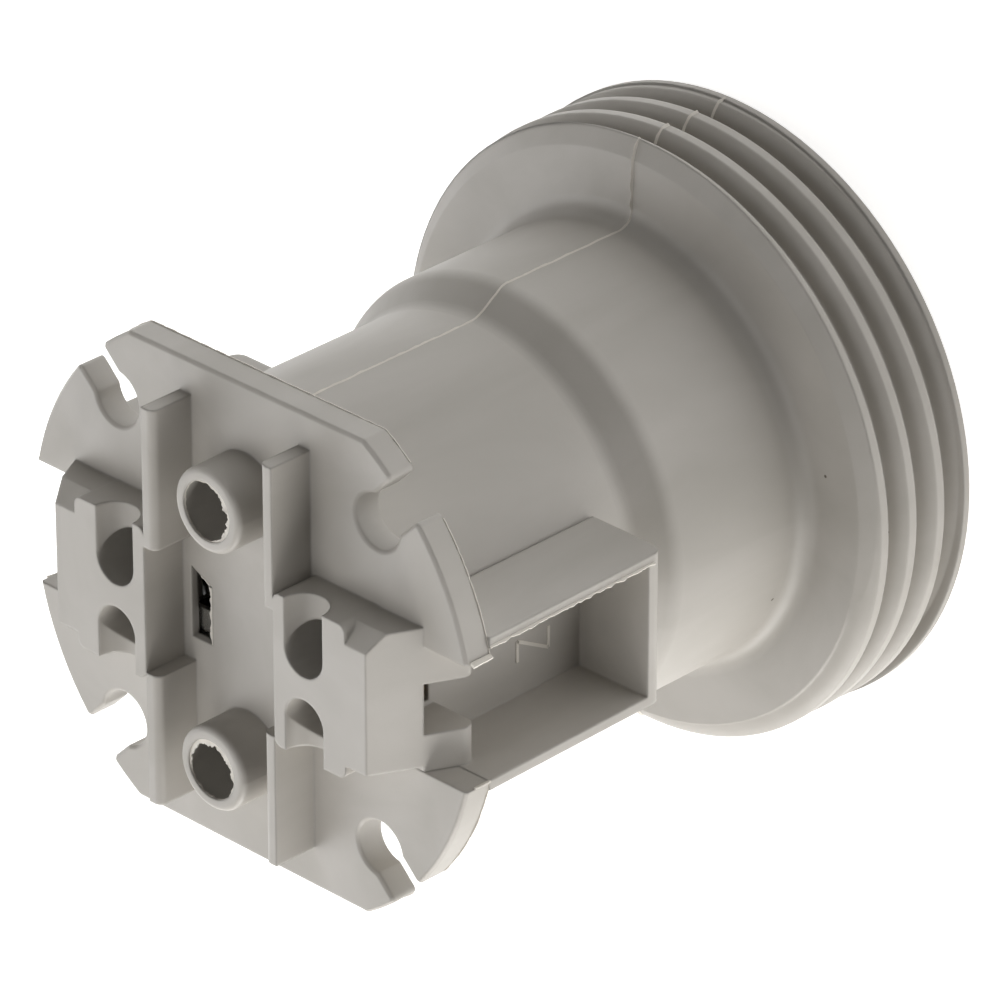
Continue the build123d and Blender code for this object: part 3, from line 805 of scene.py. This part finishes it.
class HOLDER_OT_shell(bpy.types.Operator):
    """Replaces the rings of the CAD shell with the rolled thread of the real one"""

    bl_idname = "holder.shell"
    bl_label = "Screw shell"

    def execute(self, context):
        low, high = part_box("screw_shell")
        sheet = 0.35 * mm
        flange = 2.8 * mm
        depth = 1.15 * mm
        # The thread fades out over 1 mm beside a plain band at either end
        lead, plain, fade = 0.6 * mm, 1.4 * mm, 1 * mm
        crest = high.x - sheet
        pitch = sizes().shell_pitch
        segments, rows = 96, 110
        bottom, top = low.z, high.z - sheet
        bm = bmesh.new()
        made = bmesh.ops.create_circle(bm, segments=segments, radius=crest)["verts"]
        bmesh.ops.translate(bm, vec=(0, 0, bottom), verts=made)
        edges = list(bm.edges)
        rise = (top - bottom) / rows
        for _ in range(rows):
            ring = bmesh.ops.extrude_edge_only(bm, edges=edges)["geom"]
            edges = edges_in(ring)
            bmesh.ops.translate(bm, vec=(0, 0, rise), verts=verts_in(ring))
        # Each turn of the thread climbs by one pitch
        for v in bm.verts:
            turn = math.atan2(v.co.y, v.co.x) / math.tau
            wave = 0.5 - 0.5 * math.cos(math.tau * ((v.co.z - bottom) / pitch - turn))
            start = min(1, max(0, (v.co.z - bottom - lead) / fade))
            end = min(1, max(0, (top - plain - v.co.z) / fade))
            radius = crest - depth * wave * start * end
            v.co.x *= radius / crest
            v.co.y *= radius / crest
        ring = bmesh.ops.extrude_edge_only(bm, edges=edges)["geom"]
        inner = (crest - flange) / crest
        bmesh.ops.scale(bm, vec=(inner, inner, 1), verts=verts_in(ring))
        bmesh.ops.recalc_face_normals(bm, faces=bm.faces)
        nickel = finish_of("Brass, nickel plated and rolled")
        shell = finished(bm, "rolled_shell", "holder", nickel, smooth=60)
        wall = shell.modifiers.new("sheet", "SOLIDIFY")
        wall.thickness = sheet
        wall.offset = 0
        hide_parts("screw_shell")
        return {"FINISHED"}


# Stage


def lit_acrylic():
    """Frosted acrylic of a light table: it glows evenly, so shadows on it stay faint."""
    made, tree = new_material("Acrylic, frosted and lit")
    place = add(tree, "ShaderNodeTexCoord").outputs["Object"]
    # Wear of the frosting, in patches 40 mm wide
    marks = add(
        tree, "ShaderNodeTexNoise", links={"Vector": place, "Scale": 1 / (40 * mm), "Detail": 2.0}
    ).outputs["Fac"]
    dull = add(
        tree, "ShaderNodeValToRGB", links={"Fac": marks}, stops=((0, 0.6), (1, 0.7))
    ).outputs["Color"]
    shader = add(
        tree,
        "ShaderNodeBsdfPrincipled",
        links={
            "Base Color": (*colours().floor, 1),
            "Roughness": dull,
            "Specular IOR Level": 0.1,
            "Emission Color": (1, 1, 1, 1),
            "Emission Strength": 0.61,
        },
    )
    add(tree, "ShaderNodeOutputMaterial", links={"Surface": shader.outputs["BSDF"]})
    return made


def soft_light(name, place, size, power, tint):
    """A glowing disc that faces the lamp holder: place and size in metres, power in watts."""
    light = bpy.data.lights.new(name, "AREA")
    light.shape = "DISK"
    light.size = size
    light.energy = power
    light.color = tint
    lamp = bpy.data.objects.new(name, light)
    lamp.location = place
    lamp.rotation_euler = (Vector(place) - studio_aim).to_track_quat("Z", "Y").to_euler()
    bpy.context.scene.collection.objects.link(lamp)


def fitted_camera():
    """A camera at the photograph's own viewing angle, fitted to points on the object."""
    camera = bpy.data.cameras.new("camera")
    camera.sensor_width = 36
    camera.lens = camera_lens
    camera.clip_start = 0.05
    camera.clip_end = 50
    view = bpy.data.objects.new("camera", camera)
    back = camera_back.normalized()
    up = back.cross(camera_right).normalized()
    turned = Matrix((up.cross(back), up, back)).transposed().to_4x4()
    view.matrix_world = Matrix.Translation(camera_place) @ turned
    bpy.context.scene.collection.objects.link(view)
    return view


class HOLDER_OT_stage(bpy.types.Operator):
    """Sets up the floor, the soft lights and the camera"""

    bl_idname = "holder.stage"
    bl_label = "Stage"

    def execute(self, context):
        scene = context.scene
        floor_r = 6
        bm = bmesh.new()
        bmesh.ops.create_circle(bm, cap_ends=True, segments=96, radius=floor_r)
        mesh = bpy.data.meshes.new("floor")
        bm.to_mesh(mesh)
        bm.free()
        mesh.materials.append(lit_acrylic())
        floor = bpy.data.objects.new("floor", mesh)
        scene.collection.objects.link(floor)

        world = bpy.data.worlds.new("studio")
        world.use_nodes = True
        background = world.node_tree.nodes["Background"]
        background.inputs["Color"].default_value = (1, 0.995, 0.985, 1)
        background.inputs["Strength"].default_value = 0.01
        scene.world = world
        scene.view_settings.view_transform = "Standard"

        soft_light("overhead", (0, 0, 1.3), 1.6, 11, (1, 0.993, 0.985))
        soft_light("low front", (0.3, -1.2, 0.2), 0.9, 16, (1, 0.985, 0.96))
        soft_light("side", (-0.9, -0.5, 0.5), 1.4, 10.5, (0.985, 0.99, 1))
        soft_light("low side", (1.0, -0.8, 0.1), 0.8, 5.5, (1, 0.99, 0.97))
        scene.camera = fitted_camera()
        return {"FINISHED"}


# Panel and registration


class HOLDER_PT_panel(bpy.types.Panel):
    """Lists the steps that dress the lamp holder"""

    bl_label = "Lamp holder"
    bl_idname = "HOLDER_PT_panel"
    bl_space_type = "VIEW_3D"
    bl_region_type = "UI"
    bl_category = "Lamp holder"

    def draw(self, context):
        column = self.layout.column()
        for group in (context.scene.holder_sizes, context.scene.holder_colours):
            for name in group.__annotations__:
                column.prop(group, name)
        for step in steps:
            column.operator(step.bl_idname)


steps = (
    HOLDER_OT_mouldings,
    HOLDER_OT_metals,
    HOLDER_OT_seams,
    HOLDER_OT_boss_flash,
    HOLDER_OT_fins,
    HOLDER_OT_letter,
    HOLDER_OT_shell,
    HOLDER_OT_stage,
)
classes = (HolderSizes, HolderColours, *steps, HOLDER_PT_panel)


def register():
    for item in classes:
        bpy.utils.register_class(item)
    bpy.types.Scene.holder_sizes = bpy.props.PointerProperty(type=HolderSizes)
    bpy.types.Scene.holder_colours = bpy.props.PointerProperty(type=HolderColours)


def unregister():
    del bpy.types.Scene.holder_sizes
    del bpy.types.Scene.holder_colours
    for item in reversed(classes):
        bpy.utils.unregister_class(item)


def main():
    register()
    bpy.ops.holder.mouldings()
    bpy.ops.holder.metals()
    bpy.ops.holder.seams()
    bpy.ops.holder.boss_flash()
    bpy.ops.holder.fins()
    bpy.ops.holder.letter()
    bpy.ops.holder.shell()
    bpy.ops.holder.stage()


if __name__ == "__main__":
    main()
